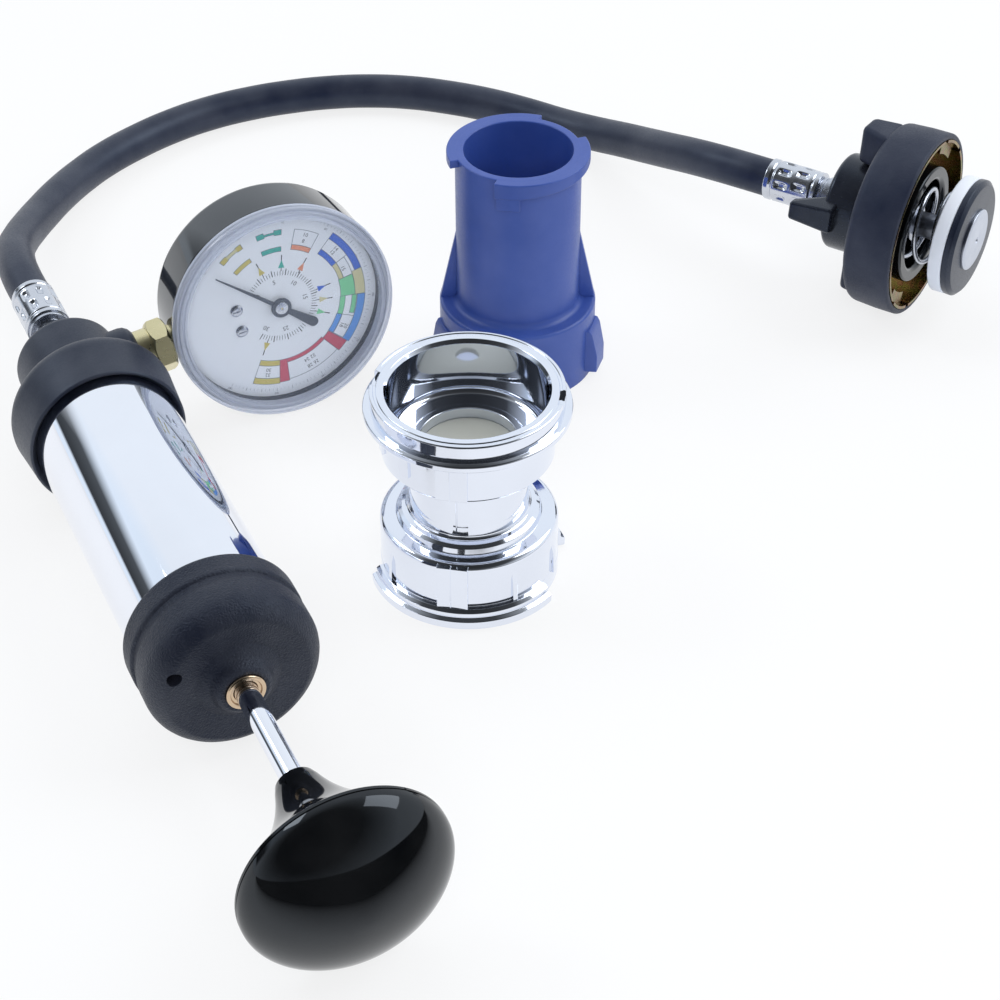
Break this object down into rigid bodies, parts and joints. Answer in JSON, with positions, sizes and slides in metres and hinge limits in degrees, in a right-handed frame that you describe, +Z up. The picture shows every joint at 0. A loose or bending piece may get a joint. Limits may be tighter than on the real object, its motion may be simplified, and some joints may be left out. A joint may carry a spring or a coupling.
{
  "type": "radiator pressure tester",
  "caption": "Hand pump with a dial gauge and a hose to a sprung bayonet cap head, laid out with a chromed and a blue filler-neck adapter.",
  "frame": {"origin": "on the surface that the kit lies on, at the middle of the layout's box without the hose", "axes": "+Z up; the pump's axis runs along Y with its knob towards -Y and its hose end towards +Y; +X runs from the pump to the cap head"},
  "size_m": [0.316, 0.3947, 0.0745],
  "materials": {
    "chrome": "mirror",
    "black_plastic": "satin, fine grain",
    "cap_rubber": "satin, orange-peel grain",
    "black_rubber": "satin",
    "hose_rubber": "satin, fine grain",
    "gloss_black": "gloss",
    "brass": "polished",
    "steel": "satin",
    "zinc": "bright zinc plated",
    "yellow_zinc": "yellow zinc plated",
    "cup_leather": "oiled",
    "clear_lens": "clear moulded plastic",
    "dial_white": "matt print",
    "needle_grey": "matt",
    "disc_white": "satin",
    "gasket_grey": "matt",
    "blue_plastic": "satin moulded nylon"
  },
  "bodies": {
    "pump": {"barrel": "chrome", "front_plug": "black_plastic", "plug_oring": "black_rubber", "valve_seat": "brass", "valve_spring": "steel", "front_cap": "cap_rubber", "rear_plug": "black_plastic", "rear_cap": "cap_rubber", "rod_bush": "brass", "stop_bumper": "black_rubber", "gauge_socket": "brass", "gauge_case": "gloss_black", "gauge_lens": "clear_lens", "lens_gasket": "black_rubber", "gauge_dial": "dial_white", "dial_screws": "steel", "bourdon_tube": "brass", "movement_frame": "brass", "link_arm": "steel", "hose_nipple": "steel", "pump_ferrule": "zinc", "hose": "hose_rubber", "head_ferrule": "zinc", "head_nipple": "steel", "head_stem": "steel", "stem_clip": "steel"},
    "plunger": {"piston_rod": "chrome", "piston_washers": "steel", "piston_cup": "cup_leather", "piston_nut": "steel", "knob_insert": "brass", "pump_knob": "gloss_black"},
    "check_ball": {"valve_ball": "steel"},
    "cap": {"cap_body": "black_plastic", "bayonet_plate": "yellow_zinc", "spring_cup": "gloss_black", "head_spring": "steel"},
    "collar": {"wing_collar": "gloss_black"},
    "seal": {"backing_disc": "disc_white", "seal_washer": "black_rubber", "seal_rivet": "steel"},
    "sector": {"sector_gear": "brass"},
    "needle": {"gauge_needle": "needle_grey", "needle_arbor": "brass"},
    "chrome_neck": {"chrome_adapter": "chrome", "adapter_gasket": "gasket_grey"},
    "blue_neck": {"blue_adapter": "blue_plastic"}
  },
  "joints": [
    {"name": "pump_stroke", "type": "slide", "parent": "pump", "child": "plunger", "axis": [0, -1, 0], "range_m": [-0.032, 0.035]},
    {"name": "valve_lift", "type": "slide", "parent": "pump", "child": "check_ball", "axis": [0, 1, 0], "range_m": [0, 0.002], "stiffness_N_per_m": 60, "springref_m": -0.005, "deforming": ["valve_spring"]},
    {"name": "cap_swivel", "type": "hinge", "parent": "pump", "child": "cap", "pos_m": [0.1338, 0.0497, 0.0296], "axis": [0.5498, -0.8353, 0], "continuous": true},
    {"name": "collar_turn", "type": "hinge", "parent": "pump", "child": "collar", "pos_m": [0.1338, 0.0497, 0.0296], "axis": [0.5498, -0.8353, 0], "range_deg": [-45, 45]},
    {"name": "seal_plunge", "type": "slide", "parent": "cap", "child": "seal", "axis": [0.5498, -0.8353, 0], "range_m": [-0.0075, 0], "stiffness_N_per_m": 2000, "springref_m": 0.005, "deforming": ["head_spring"]},
    {"name": "sector_swing", "type": "hinge", "parent": "pump", "child": "sector", "pos_m": [-0.08323, 0.0896, 0.03261], "axis": [-0.0115, -0.9962, 0.0864], "range_deg": [0, 45]},
    {"name": "needle_turn", "type": "hinge", "parent": "pump", "child": "needle", "pos_m": [-0.06935, 0.0896, 0.03446], "axis": [0.0115, 0.9962, -0.0864], "range_deg": [0, 270]},
    {"name": "chrome_lift", "type": "slide", "parent": "pump", "child": "chrome_neck", "axis": [0, 0, 1], "range_m": [0, 0.08]},
    {"name": "blue_lift", "type": "slide", "parent": "pump", "child": "blue_neck", "axis": [0, 0, 1], "range_m": [0, 0.08]}
  ],
  "couplings": [
    {"joint": "needle_turn", "follows": "sector_swing", "ratio": 6}
  ]
}
